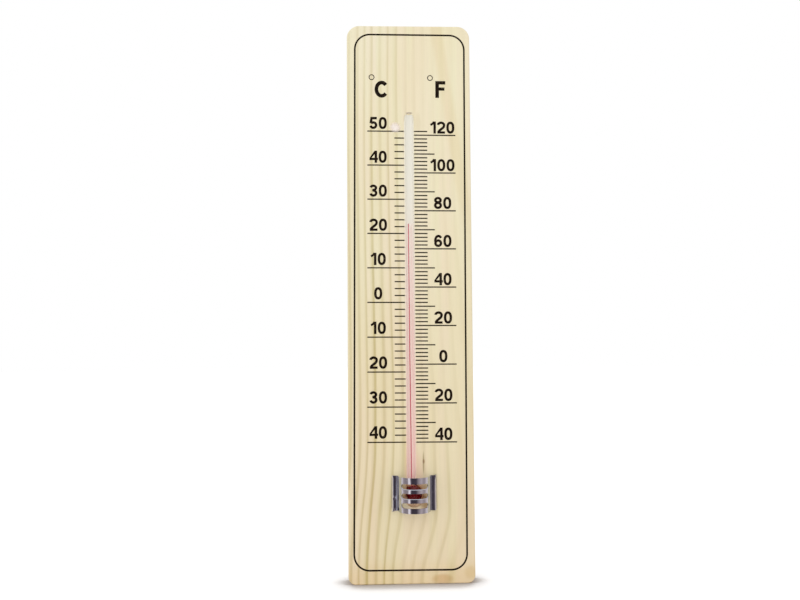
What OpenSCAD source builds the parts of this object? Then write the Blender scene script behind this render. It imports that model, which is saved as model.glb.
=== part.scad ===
// Wall thermometer: a pine board with a spirit-filled glass tube let into its face,
// a printed double scale and a pressed sheet guard over the bulb.
// Origin: centre of the hanging hole's mouth on the board's back. X right, Y into the wall, Z up.

/* [Board] */
// Length of the board, top to bottom
board_l = 221; // [213:1:260]
// Width of the board
board_w = 49.4; // [47:0.1:60]
// Thickness of the board
board_t = 8; // [7:0.5:14]
// Radius of the board's two upper corners, seen from the front
corner_r = 5; // [3:0.5:8]
// Radius of the board's two lower corners, seen from the front
corner_low_r = 3; // [2:0.5:8]
// Radius of the sanded edges
edge_r = 0.6; // [0.3:0.1:1.5]

/* [Hanging hole] */
// Diameter of the blind hole that drops over a nail or screw head
hole_d = 7; // [4:0.5:9]
// Depth of the blind hole
hole_depth = 5; // [3:0.5:5.5]
// Distance from the board's top edge to the hole's centre
hole_below_top = 12.5; // [8:0.5:20]

/* [Scale] */
// Length of one degree Celsius on the board
mm_per_c = 1.37; // [1.2:0.01:1.42]
// Highest Celsius mark
c_high = 50; // [30:10:50]
// Lowest Celsius mark
c_low = -40; // [-40:10:-20]
// Distance from the board's top edge to the highest Celsius mark
scale_below_top = 43; // [40:0.5:46]
// Degrees between two neighbouring marks, on both scales
mark_step = 2; // [1, 2]
// Width of a printed mark
mark_w = 0.45; // [0.2:0.05:0.5]
// Thickness of the printed ink
ink_t = 0.05; // [0.03:0.01:0.1]
// Space between the stem's groove and the marks
mark_gap = 0.05; // [0.05:0.05:0.4]
// Degrees that the printing is turned on the board, counterclockwise from the front
print_turn = -0.27; // [-0.5:0.01:0.5]
// Distance from the middle to the outer end of a short Celsius mark
c_short_reach = 6.1; // [5:0.1:8]
// Distance from the middle to the outer end of a long Celsius mark
c_long_reach = 16.9; // [12:0.1:18]
// Distance from the middle to the outer end of a short Fahrenheit mark
f_short_reach = 7; // [5:0.1:8]
// Distance from the middle to the outer end of a medium Fahrenheit mark
f_mid_reach = 9.9; // [8.5:0.1:11]
// Distance from the middle to the outer end of a long Fahrenheit mark
f_long_reach = 18.3; // [12:0.1:19]

/* [Border] */
// Distance from the board's sides to the middle of the border line
border_side = 2.75; // [2:0.05:3.5]
// Distance from the board's top edge to the middle of the border line
border_top = 3.7; // [2:0.1:6]
// Distance from the board's bottom edge to the middle of the border line
border_bottom = 5.4; // [2:0.1:6]
// Width of the border line
border_w = 0.65; // [0.3:0.05:0.8]
// Corner radius of the middle of the border line
border_r = 6; // [3:0.5:8]

/* [Glass stem] */
// Outer diameter of the stem
stem_d = 3.8; // [3.6:0.1:4.5]
// Diameter of the capillary bore
bore_d = 0.3; // [0.2:0.05:0.6]
// Distance from the highest Celsius mark up to the stem's domed end
stem_above_scale = 7.2; // [6.5:0.1:9]
// Diameter of the expansion chamber above the bore
chamber_d = 1; // [0.8:0.1:1.4]
// Length of the expansion chamber
chamber_l = 2.6; // [2:0.1:3]
// Distance from the stem's domed end down to the expansion chamber
chamber_below_end = 2; // [1.4:0.1:2.2]
// Width of the white enamel band fused into the glass
enamel_w = 1.45; // [1:0.05:2]
// Thickness of the enamel band
enamel_t = 0.3; // [0.2:0.05:0.4]
// Glass between the bore and the enamel band
enamel_behind = 0.35; // [0.3:0.05:0.5]
// Distance from the stem's domed end down to the enamel band
enamel_below_end = 1.2; // [1:0.1:4]

/* [Bulb] */
// Outer diameter of the bulb
bulb_d = 6.3; // [5.8:0.1:6.8]
// Length of the straight stretch between the bulb's two half balls
bulb_straight = 0.3; // [0.1:0.1:1.5]
// Thickness of the bulb's glass
bulb_wall = 0.5; // [0.4:0.05:0.7]
// Distance from the lowest Celsius mark down to the middle of the bulb
bulb_below_scale = 20.2; // [18:0.1:22]
// Sideways offset of the blown bulb from the stem, which its recess and guard follow
bulb_shift = 1; // [0:0.1:1.2]
// Diameter of the sealed glass tip under the bulb
tip_d = 1.2; // [0.8:0.1:1.6]
// Length of the sealed glass tip under the bulb
tip_l = 1.2; // [0.8:0.1:1.6]

/* [Spirit] */
// Temperature that the column shows, in degrees Celsius
shown_c = 22.8; // [-20:0.1:30]
// Radial space between the spirit and the glass
spirit_gap = 0.02; // [0.01:0.01:0.04]

/* [Seats in the board] */
// Depth of the groove that the stem lies in
groove_depth = 1.8; // [1.3:0.1:1.8]
// Thickness of the adhesive between the stem and the groove
glue_t = 0.1; // [0.05:0.01:0.2]
// Height of the adhesive above the groove's bottom
glue_rise = 1.7; // [0.6:0.1:1.7]
// Distance from the stem's domed end down to the adhesive
glue_below_end = 3; // [2.5:0.5:8]
// Free space around the bulb in its recess
recess_gap = 0.6; // [0.3:0.1:0.8]

/* [Bulb guard] */
// Thickness of the guard's sheet
sheet_t = 0.4; // [0.3:0.05:0.5]
// Outside width of the arch
arch_w = 12.8; // [11:0.1:13]
// Height of the arch above the board's face
arch_h = 7.5; // [7.5:0.1:9]
// Length of the guard along the tube
guard_l = 13.5; // [12.5:0.1:16]
// Distance from the bulb's middle up to the guard's middle
guard_above_bulb = 0.6; // [0:0.1:1.2]
// Width of the whole guard across both flanges
guard_w = 17.7; // [17:0.1:20]
// Inside radius of the guard's bends
bend_r = 0.3; // [0.2:0.05:0.4]
// Depth of the turned-down edges in the board
leg_depth = 3; // [2:0.1:4]
// Distance that a turned-down edge stops short of the flange's ends
leg_short = 0.9; // [0.5:0.1:2]
// Space around a turned-down edge in its slit
slit_gap = 0.05; // [0.02:0.01:0.1]
// Number of slots across the arch
slot_count = 3; // [2:1:3]
// Height of one slot
slot_h = 2; // [1.4:0.1:2.2]
// Distance between the middles of two slots
slot_pitch = 3.6; // [3.2:0.05:3.8]
// Distance from the guard's middle down to the middle of the slots
slot_drop = 0.2; // [0:0.05:0.4]
// Length of a slot over its rounded ends, seen from the front
slot_span = 10.4; // [8:0.1:10.8]

/* [Hidden] */
$fn = 64;
// Overshoot of a cutting shape past the face that it opens
over = 1;
// Degrees between two long marks, and between a long and a medium mark
c_long_step = 10;
f_long_step = 20;
f_mid_step = 10;
// Fahrenheit reading at 0 degrees Celsius, and Fahrenheit degrees in one Celsius degree
f_at_zero = 32;
f_per_c = 1.8;

// Board, with heights counted from the hanging hole
board_top = hole_below_top;
board_low = board_top - board_l;
middle_z = (board_top + board_low) / 2;
face_y = -board_t;

// Scale: the Fahrenheit marks lie between the ends of the Celsius scale
c_high_z = board_top - scale_below_top;
f_high = mark_step * floor(f_of(c_high) / mark_step);
f_low = mark_step * ceil(f_of(c_low) / mark_step);

// Stem: its axis lies in front of the face by what the groove leaves standing out
stem_r = stem_d / 2;
groove_r = stem_r + glue_t;
axis_y = face_y - (groove_r - groove_depth);
groove_half = sqrt(pow(groove_r, 2) - pow(groove_r - groove_depth, 2));
stem_end = c_high_z + stem_above_scale;
chamber_end = stem_end - chamber_below_end;

// Bulb: two half balls joined by a short straight stretch, and the sealed tip below
bulb_r = bulb_d / 2;
cavity_r = bulb_r - bulb_wall;
bulb_z = c_z(c_low) - bulb_below_scale;
bulb_top = bulb_z + bulb_straight / 2 + bulb_r;
bulb_low = bulb_z - bulb_straight / 2 - bulb_r;
tip_low = bulb_low - tip_l;

// Enamel band, from below the stem's end to the shoulder of the bulb
enamel_top = stem_end - enamel_below_end;
enamel_low = bulb_top;
enamel_y = axis_y + bore_d / 2 + enamel_behind;

// Spirit: the column stands on the reservoir's neck, where the bore leaves the bulb's cavity
column_r = bore_d / 2 - spirit_gap;
foot_z = bulb_top - bulb_wall;
level_z = c_z(shown_c);

// Guard over the bulb
guard_z = bulb_z + guard_above_bulb;
arch_r = arch_w / 2;
edge_x = guard_w / 2 - sheet_t - bend_r;
leg_l = guard_l - 2 * leg_short;

function f_of(c) = c * f_per_c + f_at_zero;
function c_z(c) = c_high_z - (c_high - c) * mm_per_c;
function f_z(f) = c_z((f - f_at_zero) / f_per_c);

// Rectangle about its middle with rounded corners
module rounded(w, h, r) {
    square([w - 2 * r, h], center = true);
    square([w, h - 2 * r], center = true);
    for (x = [-1, 1], y = [-1, 1])
        translate([x * (w / 2 - r), y * (h / 2 - r)]) circle(r);
}

// Round rod about its middle with ball ends; straight is the length between the balls' centres
module capsule(r, straight) {
    cylinder(r = r, h = straight, center = true);
    for (end = [-1, 1])
        translate([0, 0, end * straight / 2]) sphere(r);
}

// Flat shape drawn in X and Z that stands ink_t proud of the face, turned as the printing is
module printed() {
    translate([0, face_y, middle_z]) rotate([90, 0, 0]) linear_extrude(ink_t)
        rotate(print_turn) translate([0, -middle_z]) children();
}

// Profile of the board's rim: X outwards over a corner radius r, Y through the thickness
module rim(r) {
    square([r - edge_r, board_t]);
    translate([0, edge_r]) square([r, board_t - 2 * edge_r]);
    for (y = [edge_r, board_t - edge_r])
        translate([r - edge_r, y]) circle(edge_r);
}

// Upper end of a board that starts at the origin's height: a rail and two corners of radius r
module board_end(r) {
    rail_w = board_w - 2 * r;
    translate([-rail_w / 2, 0, 0]) rotate(180, [1, 0, 1]) linear_extrude(rail_w) rim(r);
    for (side = [0, 1])
        mirror([side, 0, 0]) translate([rail_w / 2, 0, 0])
            rotate([90, 0, 0]) rotate_extrude(angle = 90) rim(r);
}

// Board before anything is cut: a middle stretch and its two ends
module board_blank() {
    translate([0, face_y / 2, board_low + corner_low_r])
        linear_extrude(board_l - corner_low_r - corner_r) rounded(board_w, board_t, edge_r);
    translate([0, 0, board_top - corner_r]) board_end(corner_r);
    translate([0, 0, board_low + corner_low_r]) mirror([0, 0, 1]) board_end(corner_low_r);
}

// Ball-nosed groove for the stem, open at the front, that runs into the bulb's recess
module groove() {
    translate([0, axis_y, bulb_z]) cylinder(r = groove_r, h = stem_end - stem_r - bulb_z);
    translate([0, axis_y, stem_end - stem_r]) sphere(groove_r);
}

// Recess with room around the bulb and its tip
module recess() {
    translate([bulb_shift, axis_y, bulb_z - tip_l / 2])
        capsule(bulb_r + recess_gap, bulb_straight + tip_l);
}

// Slits for the guard's turned-down edges, with a mouth that clears the bend
module slits() {
    length = leg_l + 2 * slit_gap;
    outer_x = guard_w / 2 + slit_gap;
    slit_w = sheet_t + 2 * slit_gap;
    mouth_w = outer_x - edge_x + slit_gap;
    for (side = [0, 1])
        translate([bulb_shift, face_y - over, guard_z - length / 2]) mirror([side, 0, 0]) {
            translate([outer_x - slit_w, 0, 0])
                cube([slit_w, leg_depth + slit_gap + over, length]);
            translate([outer_x - mouth_w, 0, 0])
                cube([mouth_w, bend_r + slit_gap + over, length]);
        }
}

module backboard() color("#e6d8b4") difference() {
    board_blank();
    groove();
    recess();
    slits();
    translate([0, over, 0]) rotate([90, 0, 0]) cylinder(d = hole_d, h = hole_depth + over);
}

// Band of enamel as it is cast into the glass
module enamel_shape() {
    translate([-enamel_w / 2, enamel_y, enamel_low])
        cube([enamel_w, enamel_t, enamel_top - enamel_low]);
}

// Space inside the glass: the bulb's cavity, the capillary bore and the expansion chamber
module glass_inside() {
    translate([bulb_shift, axis_y, bulb_z]) capsule(cavity_r, bulb_straight);
    translate([0, axis_y, bulb_z]) cylinder(d = bore_d, h = chamber_end - chamber_l / 2 - bulb_z);
    translate([0, axis_y, chamber_end - chamber_l / 2])
        capsule(chamber_d / 2, chamber_l - chamber_d);
}

module glass_tube() color([0.88, 0.95, 0.94, 0.35]) difference() {
    union() {
        translate([0, axis_y, bulb_z]) cylinder(r = stem_r, h = stem_end - stem_r - bulb_z);
        translate([0, axis_y, stem_end - stem_r]) sphere(stem_r);
        translate([bulb_shift, axis_y, bulb_z]) capsule(bulb_r, bulb_straight);
        translate([bulb_shift, axis_y, tip_low + tip_d / 2]) {
            cylinder(d = tip_d, h = tip_l - tip_d / 2 + bulb_wall / 2);
            sphere(d = tip_d);
        }
    }
    glass_inside();
    enamel_shape();
}

module enamel_band() color("#f3f0e8") enamel_shape();

// Spirit that stays in the bulb, up to the column's foot
module bulb_spirit() color("#7a0a18") {
    translate([bulb_shift, axis_y, bulb_z]) capsule(cavity_r - spirit_gap, bulb_straight);
    translate([0, axis_y, bulb_z]) cylinder(r = column_r, h = foot_z - bulb_z);
}

// Thread of spirit in the bore, which grows from its foot
module spirit_column() color("#b0182c")
    translate([0, axis_y, foot_z]) cylinder(r = column_r, h = level_z - foot_z);

// Adhesive in the bottom of the groove, a crescent between wood and glass
module tube_adhesive() color("#efe8d2") {
    low = bulb_top + recess_gap;
    translate([0, axis_y, low]) linear_extrude(stem_end - glue_below_end - low)
        intersection() {
            difference() {
                circle(groove_r);
                circle(stem_r);
            }
            translate([-groove_r, groove_r - glue_rise]) square([2 * groove_r, glue_rise]);
        }
}

// Quarter of a bend in the sheet, with its middle at the origin
module bend(outer_r) {
    intersection() {
        difference() {
            circle(outer_r);
            circle(outer_r - sheet_t);
        }
        square(outer_r);
    }
}

// One half of the guard's section: X sideways, Y up from the board's face
module guard_half() {
    translate([0, arch_h - arch_r]) bend(arch_r);
    translate([arch_r - sheet_t, sheet_t + bend_r])
        square([sheet_t, arch_h - arch_r - sheet_t - bend_r]);
    translate([arch_r + bend_r, sheet_t + bend_r]) rotate(180) bend(bend_r + sheet_t);
    translate([arch_r + bend_r, 0]) square([edge_x - arch_r - bend_r, sheet_t]);
    translate([edge_x, -bend_r]) bend(bend_r + sheet_t);
    translate([edge_x + bend_r, -leg_depth]) square([sheet_t, leg_depth - bend_r]);
}

// One slot through the arch, with rounded ends, drawn about its middle
module slot() {
    translate([0, face_y, 0]) rotate([90, 0, 0]) linear_extrude(arch_h + over) {
        square([slot_span - slot_h, slot_h], center = true);
        for (side = [-1, 1])
            translate([side * (slot_span - slot_h) / 2, 0]) circle(d = slot_h);
    }
}

// Pressed sheet: an arch over the bulb, two flanges on the board and their turned-down edges
module bulb_guard() color("#c8c8ce") translate([bulb_shift, 0, guard_z]) difference() {
    translate([0, face_y, -guard_l / 2]) linear_extrude(guard_l)
        for (side = [0, 1])
            mirror([side, 0]) mirror([0, 1]) guard_half();
    for (i = [0 : slot_count - 1])
        translate([0, 0, (i - (slot_count - 1) / 2) * slot_pitch - slot_drop]) slot();
    for (end = [-1, 1])
        translate([-guard_w / 2 - over, face_y, end * (guard_l - leg_short + over) / 2
                   - (leg_short + over) / 2])
            cube([guard_w + 2 * over, leg_depth + over, leg_short + over]);
}

module border_line() color("#2b1c12") {
    w = board_w - 2 * border_side;
    h = board_l - border_top - border_bottom;
    printed() translate([0, board_low + border_bottom + h / 2]) difference() {
        rounded(w + border_w, h + border_w, border_r + border_w / 2);
        rounded(w - border_w, h - border_w, border_r - border_w / 2);
    }
}

// One mark at height z on the left (-1) or right (1) side, from beside the groove to its reach
module mark(side, reach, z) {
    start = groove_half + mark_gap + side * (z - middle_z) * sin(print_turn);
    translate([side * (start + reach) / 2, z]) square([reach - start, mark_w], center = true);
}

module celsius_marks() color("#2b1c12") printed()
    for (c = [c_low : mark_step : c_high])
        mark(-1, c % c_long_step == 0 ? c_long_reach : c_short_reach, c_z(c));

module fahrenheit_marks() color("#2b1c12") printed()
    for (f = [f_low : mark_step : f_high])
        mark(1, f % f_long_step == 0 ? f_long_reach
             : f % f_mid_step == 0 ? f_mid_reach : f_short_reach, f_z(f));

backboard();
glass_tube();
enamel_band();
bulb_spirit();
spirit_column();
tube_adhesive();
bulb_guard();
border_line();
celsius_marks();
fahrenheit_marks();
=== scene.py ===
# Pine wall thermometer: finish, fine shapes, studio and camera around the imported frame.
# The frame is in metres: X to the right of the reader, Y into the wall, Z up.
import math

import bmesh
import bpy
from mathutils import Matrix, Vector, noise
from mathutils.geometry import delaunay_2d_cdt


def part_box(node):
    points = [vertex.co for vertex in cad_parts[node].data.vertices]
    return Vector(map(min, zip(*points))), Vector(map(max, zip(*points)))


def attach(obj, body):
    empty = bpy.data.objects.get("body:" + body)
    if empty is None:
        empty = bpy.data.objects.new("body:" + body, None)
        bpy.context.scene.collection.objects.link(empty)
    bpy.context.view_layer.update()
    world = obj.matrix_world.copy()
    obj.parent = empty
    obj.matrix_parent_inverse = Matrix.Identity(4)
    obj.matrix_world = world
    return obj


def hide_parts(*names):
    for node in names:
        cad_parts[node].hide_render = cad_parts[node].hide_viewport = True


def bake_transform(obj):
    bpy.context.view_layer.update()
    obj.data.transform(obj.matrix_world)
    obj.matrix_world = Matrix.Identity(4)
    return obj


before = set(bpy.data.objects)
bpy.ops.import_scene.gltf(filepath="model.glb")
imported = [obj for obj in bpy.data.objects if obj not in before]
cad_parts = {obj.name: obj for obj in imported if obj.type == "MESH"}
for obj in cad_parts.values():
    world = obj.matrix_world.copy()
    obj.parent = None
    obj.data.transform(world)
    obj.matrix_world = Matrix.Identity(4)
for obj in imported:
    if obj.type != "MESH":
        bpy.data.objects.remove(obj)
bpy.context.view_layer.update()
MM = 0.001

# Camera, solved from the photograph's perspective, in millimetres and degrees
CAMERA_PLACE = (-16.21, -327.38, -115.62)
CAMERA_AIM = (-4.01, -8.0, -98.03)
CAMERA_ROLL = -0.39
FOCAL_PX = 810
IMAGE_W_PX = 800
SENSOR_W = 36


def add_object(name, data):
    made = bpy.data.objects.new(name, data)
    bpy.context.collection.objects.link(made)
    return made


def make_camera():
    data = bpy.data.cameras.new("camera")
    data.sensor_width = SENSOR_W
    data.lens = FOCAL_PX / IMAGE_W_PX * SENSOR_W
    data.clip_start = 0.01
    data.clip_end = 20
    camera = add_object("camera", data)
    place = Vector(CAMERA_PLACE) * MM
    aim = Vector(CAMERA_AIM) * MM
    turn = (aim - place).to_track_quat("-Z", "Y").to_matrix().to_4x4()
    roll = Matrix.Rotation(math.radians(CAMERA_ROLL), 4, "Z")
    camera.matrix_world = Matrix.Translation(place) @ turn @ roll
    bpy.context.scene.camera = camera


make_camera()
bpy.context.scene.view_settings.view_transform = "Standard"

# Places taken from the frame, in metres
BOARD_LO, BOARD_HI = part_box("backboard")
FACE_Y = BOARD_LO.y
COLUMN_LO, COLUMN_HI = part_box("spirit_column")
AXIS_X = (COLUMN_LO.x + COLUMN_HI.x) / 2
AXIS_Y = (COLUMN_LO.y + COLUMN_HI.y) / 2
FOOT_Z = COLUMN_LO.z
LEVEL_Z = COLUMN_HI.z
COLUMN_R = (COLUMN_HI.x - COLUMN_LO.x) / 2
GLASS_LO, GLASS_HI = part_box("glass_tube")
SPIRIT_LO, SPIRIT_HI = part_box("bulb_spirit")
BULB_X = (SPIRIT_LO.x + SPIRIT_HI.x) / 2
BULB_R = (GLASS_HI.x - GLASS_LO.x) / 2
GUARD_LO, GUARD_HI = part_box("bulb_guard")
GUARD_X = (GUARD_LO.x + GUARD_HI.x) / 2
GUARD_Z = (GUARD_LO.z + GUARD_HI.z) / 2
GUARD_HALF_W = (GUARD_HI.x - GUARD_LO.x) / 2 / MM
GUARD_HALF_L = (GUARD_HI.z - GUARD_LO.z) / 2 / MM
# Outer bends of the guard's flanges, in millimetres
OUTER_BEND_R = 0.75
EDGE_X = GUARD_HALF_W - OUTER_BEND_R

QUARTER = math.pi / 2
SHARP_ANGLE = math.radians(50)
NEARLY = 1e-6


def spread(low, high, count):
    """Evenly spaced numbers from low to high, in count steps."""
    return [low + (high - low) * i / count for i in range(count + 1)]


class Shader:
    """Node tree with short calls for its nodes and links."""

    def __init__(self, tree):
        self.tree = tree
        tree.nodes.clear()

    def node(self, kind, **settings):
        made = self.tree.nodes.new(kind)
        for name, value in settings.items():
            setattr(made, name, value)
        return made

    def feed(self, value, socket):
        """Link a socket, or set a plain value."""
        if isinstance(value, bpy.types.NodeSocket):
            self.tree.links.new(value, socket)
        else:
            socket.default_value = value

    def fed(self, kind, **inputs):
        """First output of a new node; a key names its input with underscores for spaces."""
        made = self.node(kind)
        for name, value in inputs.items():
            self.feed(value, made.inputs[name.replace("_", " ")])
        return made.outputs[0]

    def math(self, operation, a, b=0.0, c=0.0, clamp=False):
        made = self.node("ShaderNodeMath", operation=operation, use_clamp=clamp)
        for value, socket in zip((a, b, c), made.inputs):
            self.feed(value, socket)
        return made.outputs[0]

    def add(self, a, b):
        return self.math("ADD", a, b)

    def less(self, a, b):
        return self.math("SUBTRACT", a, b)

    def times(self, a, b):
        return self.math("MULTIPLY", a, b)

    def mix(self, factor, a, b, blend="MIX"):
        made = self.node("ShaderNodeMix", data_type="RGBA", blend_type=blend)
        self.feed(factor, made.inputs["Factor"])
        self.feed(a, made.inputs[6])
        self.feed(b, made.inputs[7])
        return made.outputs[2]

    def tinted(self, colour, tint):
        """The colour multiplied by a tint."""
        return self.mix(1.0, colour, tint, "MULTIPLY")

    def smooth(self, value, low, high, out_low=0.0, out_high=1.0):
        """Smooth step from out_low at low to out_high at high."""
        made = self.node("ShaderNodeMapRange", interpolation_type="SMOOTHSTEP")
        for item, socket in zip((value, low, high, out_low, out_high), made.inputs):
            self.feed(item, socket)
        return made.outputs[0]

    def noise(self, place, scale, detail=2.0, roughness=0.5, dimensions="3D"):
        made = self.node("ShaderNodeTexNoise", noise_dimensions=dimensions)
        self.feed(place, made.inputs["W" if dimensions == "1D" else "Vector"])
        made.inputs["Scale"].default_value = scale
        made.inputs["Detail"].default_value = detail
        made.inputs["Roughness"].default_value = roughness
        return made.outputs["Fac"]

    def grain(self, scale, detail=2.0, roughness=0.5):
        """Noise over the object, with a scale along each axis."""
        return self.noise(self.place(scale), 1.0, detail, roughness)

    def place(self, scale=(1000, 1000, 1000)):
        """Object coordinates stretched by scale: in millimetres unless told otherwise."""
        coordinates = self.node("ShaderNodeTexCoord").outputs["Object"]
        return self.fed("ShaderNodeMapping", Vector=coordinates, Scale=scale)

    def xyz(self, vector):
        made = self.node("ShaderNodeSeparateXYZ")
        self.feed(vector, made.inputs[0])
        return made.outputs

    def ramp(self, value, stops, interpolation="LINEAR"):
        """Grey ramp over (position, shade) stops, of which the first is at 0 and the last at 1."""
        made = self.node("ShaderNodeValToRGB")
        made.color_ramp.interpolation = interpolation
        elements = made.color_ramp.elements
        for position, _ in stops[1:-1]:
            elements.new(position)
        for element, (_, shade) in zip(elements, stops):
            element.color = (shade, shade, shade, 1)
        self.feed(value, made.inputs[0])
        return made.outputs[0]

    def bump(self, height, distance, strength):
        return self.fed("ShaderNodeBump", Height=height, Distance=distance, Strength=strength)

    def principled(self, **inputs):
        return self.fed("ShaderNodeBsdfPrincipled", **inputs)

    def glow(self, colour, strength=1.0):
        return self.fed("ShaderNodeEmission", Color=colour, Strength=strength)

    def layered(self, share, low, high):
        """Shader low where share is 0, and shader high where it is 1."""
        made = self.node("ShaderNodeMixShader")
        for item, socket in zip((share, low, high), made.inputs):
            self.feed(item, socket)
        return made.outputs[0]

    def output(self, surface, kind="ShaderNodeOutputMaterial"):
        self.feed(surface, self.node(kind).inputs["Surface"])


def linear(red, green, blue):
    """Linear colour of an sRGB colour given in steps of 255."""
    def one(step):
        part = step / 255
        return part / 12.92 if part <= 0.04045 else ((part + 0.055) / 1.055) ** 2.4
    return (one(red), one(green), one(blue), 1.0)


def new_material(name):
    material = bpy.data.materials.new(name)
    material.use_nodes = True
    return material, Shader(material.node_tree)


# Pine: a solid grain, so that face, sides and end grain agree. Sizes in millimetres.
RING_SPACING = 2.85
RING_Y = 24.0
RING_START_X = -17.4
# Share of late wood over one ring, from its start to its dark end
RING_SHADES = ((0.0, 0.45), (0.10, 0.06), (0.42, 0.0), (0.66, 0.30), (0.81, 0.95), (0.94, 1.0),
               (1.0, 0.45))
# OVER and AT name smooth steps over x, z or depth: from, to, value at from, value at to.
# The trunk leans: the rings drift sideways with height, and its heart comes nearer lower down
HEART_X_OVER_Z = (-20, -200, 46.0, 33.0)
DRIFT_OVER_Z = (-40, -150, 0, -0.8)
RIGHT_SHARE_OVER_X = (-16, 6)
LEFT_LEAN_OVER_Z = (-152, -207, 0, 3.8)
RIGHT_LEAN_OVER_Z = (-179, -208, 0, 6.2)
# The rings are boldest at the left, paler near both ends and faint in the upper right
BOLD_OVER_X = (-17, -5, 1.28, 0.68)
BOLD_AT_FOOT = (-176, -188, 1.0, 0.76)
BOLD_AT_TOP = (-50, 0, 1.0, 0.82)
CALM_OVER_X = (-5, 6)
CALM_OVER_Z = (-190, -125, 0.15, 0.75)
CALM_AT_EDGE = (13.5, 17.5, 0.0, 0.75)
# Noise scales, per metre
WANDER_SCALE = (22, 22, 9)
RIPPLE_SCALE = (160, 160, 30)
PATCH_SCALE = (60, 60, 14)
FIBRE_SCALE = (4200, 4200, 130)
COARSE_SCALE = (900, 900, 28)
CANAL_SCALE = (3000, 3000, 260)
BLOTCH_SCALE = (45, 45, 12)
HUE_SCALE = (210, 210, 12)
# Colours of early and late wood at the top and at the foot
PINE_TOP = linear(242, 233, 204)
PINE_LOW = linear(239, 223, 189)
PINE_LATE_TOP = linear(218, 207, 165)
PINE_LATE_LOW = linear(201, 182, 127)
LOW_OVER_Z = (10, -190)
# A broad tan ring that slants down to the right edge: x at z = 0, slope, half width
BROAD_X, BROAD_SLOPE, BROAD_HALF = 12.9, -0.152, 3.4
BROAD_OVER_Z = (-82, -52)
BROAD_TINT = (0.955, 0.92, 0.865, 1)
# Slow changes of hue across the grain
WARM_TINT = (0.985, 0.955, 0.91, 1)
ROSY_TINT = (1.0, 0.98, 0.985, 1)
STRAW_TINT = (0.985, 1.0, 0.96, 1)
# The wood darkens towards the board's foot, and end grain drinks more of the coat
FOOT_OVER_Z = (-197, -206)
FOOT_TINT = (0.975, 0.925, 0.855, 1)
END_GRAIN_TINT = (0.87, 0.82, 0.74, 1)
# Stains, a resin streak, a tan streak, a painted shadow of the stem beside its top,
# and painted shade in the groove's upper end: centre x and z, half width and height, tint
MARKS_AND_PAINTED_SHADE = ((11.8, -206.6, 5.2, 2.4, (0.86, 0.76, 0.64, 1)),
              (23.0, -204.2, 3.4, 3.2, (0.93, 0.90, 0.80, 1)),
              (4.75, -161.9, 0.42, 5.4, (0.62, 0.58, 0.50, 1)),
              (4.85, -161.3, 0.55, 1.1, (0.66, 0.56, 0.50, 1)),
              (-1.8, -160.0, 1.4, 16.0, (0.94, 0.90, 0.78, 1)),
              # Painted shadow that the stem casts on the wood right of its top
              (3.7, -27.0, 1.3, 5.5, (0.94, 0.93, 0.90, 1)),
              # Painted shade in the groove's upper end, just above the glass dome
              (AXIS_X / MM + 0.1, GLASS_HI.z / MM + 0.22, 1.7, 0.40, (0.46, 0.42, 0.48, 1)))
# Painted red light from the spirit beside the stem, and red-tinged painted shade under the guard
SPIRIT_LIGHT_AND_SHADE = ((0.9, -168.0, 4.6, 15.0, (0.98, 0.86, 0.89, 1)),
              # Painted shade, tinged red, in the recess under the guard, seen through the slots
              (1.3, -172.8, 7.2, 4.6, (0.66, 0.48, 0.38, 1)),
              (1.0, -175.5, 7.0, 2.1, (0.60, 0.49, 0.45, 1)),
              (5.4, -177.4, 2.8, 3.2, (0.72, 0.58, 0.48, 1)))
# The marks are on the front alone, and end at this depth
MARKS_OVER_DEPTH = (6.0, 5.0)
# Wood in the recess and the groove is paler and less yellow: depth, middle and half width
CUT_OVER_DEPTH = (0.4, 0.8)
CUT_X = 1.0
CUT_OVER_X = (5.5, 5.0)
CUT_TINT = (1.16, 1.18, 1.22, 1)


def ring_distance(s, x, y, heart):
    """Distance from the trunk's heart, in millimetres."""
    dx = s.less(heart, x)
    dy = s.less(RING_Y, y)
    return s.math("SQRT", s.add(s.math("POWER", dx, 2.0), s.math("POWER", dy, 2.0)))


def oval_distance(s, x, z, centre_x, centre_z, half_x, half_z):
    """0 at the middle of an oval patch of the face, and 1 on its rim."""
    dx = s.math("DIVIDE", s.less(x, centre_x), half_x)
    dz = s.math("DIVIDE", s.less(z, centre_z), half_z)
    return s.add(s.times(dx, dx), s.times(dz, dz))


def stained(s, colour, amount, tint):
    """The colour multiplied by a tint where amount is 1."""
    return s.tinted(colour, s.mix(amount, (1, 1, 1, 1), tint))


def ring_phase(s, x, y, z):
    """Count of rings from the first, whole where a ring begins."""
    right = s.smooth(x, *RIGHT_SHARE_OVER_X)
    lean_left = s.times(s.smooth(z, *LEFT_LEAN_OVER_Z), s.less(1.0, right))
    lean_right = s.times(s.smooth(z, *RIGHT_LEAN_OVER_Z), right)
    drift = s.add(s.smooth(z, *DRIFT_OVER_Z), s.add(lean_left, lean_right))
    wander = s.math("MULTIPLY_ADD", s.grain(WANDER_SCALE), 1.6, -0.8)
    across = s.add(s.add(x, drift), wander)
    heart = s.smooth(z, *HEART_X_OVER_Z)
    start = ring_distance(s, RING_START_X, FACE_Y / MM, heart)
    grown = s.less(start, ring_distance(s, across, y, heart))
    grown = s.add(grown, s.times(s.grain(RIPPLE_SCALE), 0.4))
    phase = s.math("DIVIDE", grown, RING_SPACING)
    uneven = s.noise(phase, 0.45, 1.0, dimensions="1D")
    return s.add(phase, s.math("MULTIPLY_ADD", uneven, 0.7, -0.45))


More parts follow.
